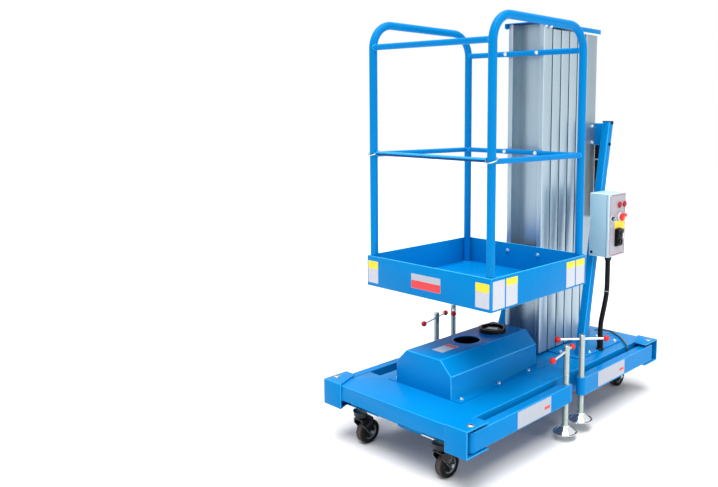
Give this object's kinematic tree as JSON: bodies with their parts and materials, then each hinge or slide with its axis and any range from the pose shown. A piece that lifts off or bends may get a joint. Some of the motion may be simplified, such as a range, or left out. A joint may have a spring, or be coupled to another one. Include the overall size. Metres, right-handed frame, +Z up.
{
  "type": "vertical mast lift",
  "caption": "Push-around vertical mast lift: guarded platform on a telescopic aluminium mast, blue base on casters, swing-out outriggers with screw jacks.",
  "frame": {"origin": "on the floor under the middle of the base", "axes": "+Z up, +X across the base towards the control box, +Y from the entry side towards the mast"},
  "size_m": [0.9283, 1.45, 1.785],
  "materials": {
    "blue_paint": "semi-gloss powder coat",
    "mast_aluminium": "satin anodised extrusion",
    "zinc_steel": "bright zinc plate",
    "grey_paint": "light grey powder coat",
    "red_plastic": "glossy moulded plastic",
    "black_plastic": "satin moulded plastic",
    "black_rubber": "matt flexible conduit",
    "tyre_rubber": "matt rubber",
    "grey_plastic": "moulded nylon hub",
    "black_paint": "gloss black paint",
    "machine_steel": "dark steel block"
  },
  "bodies": {
    "chassis": {"deck": "blue_paint", "corner_brackets": "blue_paint", "pivot_pins": "zinc_steel", "caster_beams": "blue_paint", "caster_plates": "zinc_steel", "belly_pan": "blue_paint", "power_cover": "blue_paint", "power_unit": "machine_steel", "filler_collar": "black_rubber", "gauge_insert": "grey_plastic", "mast_foot": "blue_paint", "mast_section_1": "mast_aluminium", "mast_braces": "blue_paint", "brace_plates": "blue_paint", "control_box": "grey_paint", "control_panel": "grey_paint", "panel_buttons": "red_plastic", "panel_switches": "black_plastic", "conduit_gland": "black_plastic", "control_conduit": "black_rubber", "conduit_sleeve": "black_rubber", "cable_trunk": "black_plastic", "thin_lead": "black_rubber"},
    "mast_2": {"mast_section_2": "mast_aluminium"},
    "mast_3": {"mast_section_3": "mast_aluminium"},
    "mast_4": {"mast_section_4": "mast_aluminium"},
    "mast_5": {"mast_section_5": "mast_aluminium"},
    "platform": {"mast_section_6": "mast_aluminium", "mast_cap": "blue_paint", "platform_tray": "blue_paint", "guard_hoop_left": "blue_paint", "guard_hoop_right": "blue_paint", "guard_rails": "blue_paint", "rail_spacers": "blue_paint"},
    "entry_bar": {"entry_bar": "blue_paint"},
    "outrigger_front_left": {"outrigger_front_left": "blue_paint"},
    "jack_front_left": {"jack_front_left": "zinc_steel", "jack_balls_front_left": "red_plastic"},
    "caster_front_left": {"caster_fork_front_left": "black_paint"},
    "wheel_front_left": {"wheel_tyre_front_left": "tyre_rubber", "wheel_hub_front_left": "grey_plastic"},
    "outrigger_front_right": {"outrigger_front_right": "blue_paint"},
    "jack_front_right": {"jack_front_right": "zinc_steel", "jack_balls_front_right": "red_plastic"},
    "caster_front_right": {"caster_fork_front_right": "black_paint"},
    "wheel_front_right": {"wheel_tyre_front_right": "tyre_rubber", "wheel_hub_front_right": "grey_plastic"},
    "outrigger_rear_right": {"outrigger_rear_right": "blue_paint"},
    "jack_rear_right": {"jack_rear_right": "zinc_steel", "jack_balls_rear_right": "red_plastic"},
    "caster_rear_right": {"caster_fork_rear_right": "black_paint"},
    "wheel_rear_right": {"wheel_tyre_rear_right": "tyre_rubber", "wheel_hub_rear_right": "grey_plastic"},
    "outrigger_rear_left": {"outrigger_rear_left": "blue_paint"},
    "jack_rear_left": {"jack_rear_left": "zinc_steel", "jack_balls_rear_left": "red_plastic"},
    "caster_rear_left": {"caster_fork_rear_left": "black_paint"},
    "wheel_rear_left": {"wheel_tyre_rear_left": "tyre_rubber", "wheel_hub_rear_left": "grey_plastic"}
  },
  "joints": [
    {"name": "mast_slide_2", "type": "slide", "parent": "chassis", "child": "mast_2", "axis": [0, 0, 1], "range_m": [0, 1.15]},
    {"name": "mast_slide_3", "type": "slide", "parent": "mast_2", "child": "mast_3", "axis": [0, 0, 1], "range_m": [0, 1.15]},
    {"name": "mast_slide_4", "type": "slide", "parent": "mast_3", "child": "mast_4", "axis": [0, 0, 1], "range_m": [0, 1.15]},
    {"name": "mast_slide_5", "type": "slide", "parent": "mast_4", "child": "mast_5", "axis": [0, 0, 1], "range_m": [0, 1.15]},
    {"name": "mast_slide_6", "type": "slide", "parent": "mast_5", "child": "platform", "axis": [0, 0, 1], "range_m": [0, 1.15]},
    {"name": "entry_bar_slide", "type": "slide", "parent": "platform", "child": "entry_bar", "axis": [0, 0, 1], "range_m": [0, 0.4]},
    {"name": "outrigger_swing_front_left", "type": "hinge", "parent": "chassis", "child": "outrigger_front_left", "pos_m": [-0.377, -0.675, 0.204], "axis": [0, 0, 1], "range_deg": [0, 120]},
    {"name": "jack_screw_front_left", "type": "slide", "parent": "outrigger_front_left", "child": "jack_front_left", "axis": [0, 0, 1], "range_m": [-0.12, 0.097]},
    {"name": "caster_swivel_front_left", "type": "hinge", "parent": "chassis", "child": "caster_front_left", "pos_m": [-0.226, -0.665, 0.12], "axis": [0, 0, 1], "continuous": true},
    {"name": "wheel_roll_front_left", "type": "hinge", "parent": "caster_front_left", "child": "wheel_front_left", "pos_m": [-0.226, -0.637, 0.05], "axis": [1, 0, 0], "continuous": true},
    {"name": "outrigger_swing_front_right", "type": "hinge", "parent": "chassis", "child": "outrigger_front_right", "pos_m": [0.377, -0.675, 0.204], "axis": [0, 0, -1], "range_deg": [0, 120]},
    {"name": "jack_screw_front_right", "type": "slide", "parent": "outrigger_front_right", "child": "jack_front_right", "axis": [0, 0, 1], "range_m": [-0.12, 0.099]},
    {"name": "caster_swivel_front_right", "type": "hinge", "parent": "chassis", "child": "caster_front_right", "pos_m": [0.226, -0.665, 0.12], "axis": [0, 0, 1], "continuous": true},
    {"name": "wheel_roll_front_right", "type": "hinge", "parent": "caster_front_right", "child": "wheel_front_right", "pos_m": [0.226, -0.637, 0.05], "axis": [1, 0, 0], "continuous": true},
    {"name": "outrigger_swing_rear_right", "type": "hinge", "parent": "chassis", "child": "outrigger_rear_right", "pos_m": [0.377, 0.675, 0.204], "axis": [0, 0, 1], "range_deg": [0, 120]},
    {"name": "jack_screw_rear_right", "type": "slide", "parent": "outrigger_rear_right", "child": "jack_rear_right", "axis": [0, 0, 1], "range_m": [-0.12, 0.081]},
    {"name": "caster_swivel_rear_right", "type": "hinge", "parent": "chassis", "child": "caster_rear_right", "pos_m": [0.226, 0.665, 0.12], "axis": [0, 0, 1], "continuous": true},
    {"name": "wheel_roll_rear_right", "type": "hinge", "parent": "caster_rear_right", "child": "wheel_rear_right", "pos_m": [0.226, 0.637, 0.05], "axis": [1, 0, 0], "continuous": true},
    {"name": "outrigger_swing_rear_left", "type": "hinge", "parent": "chassis", "child": "outrigger_rear_left", "pos_m": [-0.377, 0.675, 0.204], "axis": [0, 0, -1], "range_deg": [0, 120]},
    {"name": "jack_screw_rear_left", "type": "slide", "parent": "outrigger_rear_left", "child": "jack_rear_left", "axis": [0, 0, 1], "range_m": [-0.12, 0.079]},
    {"name": "caster_swivel_rear_left", "type": "hinge", "parent": "chassis", "child": "caster_rear_left", "pos_m": [-0.226, 0.665, 0.12], "axis": [0, 0, 1], "continuous": true},
    {"name": "wheel_roll_rear_left", "type": "hinge", "parent": "caster_rear_left", "child": "wheel_rear_left", "pos_m": [-0.226, 0.637, 0.05], "axis": [1, 0, 0], "continuous": true}
  ],
  "couplings": [
    {"joint": "mast_slide_3", "follows": "mast_slide_2", "ratio": 1},
    {"joint": "mast_slide_4", "follows": "mast_slide_2", "ratio": 1},
    {"joint": "mast_slide_5", "follows": "mast_slide_2", "ratio": 1},
    {"joint": "mast_slide_6", "follows": "mast_slide_2", "ratio": 1}
  ]
}
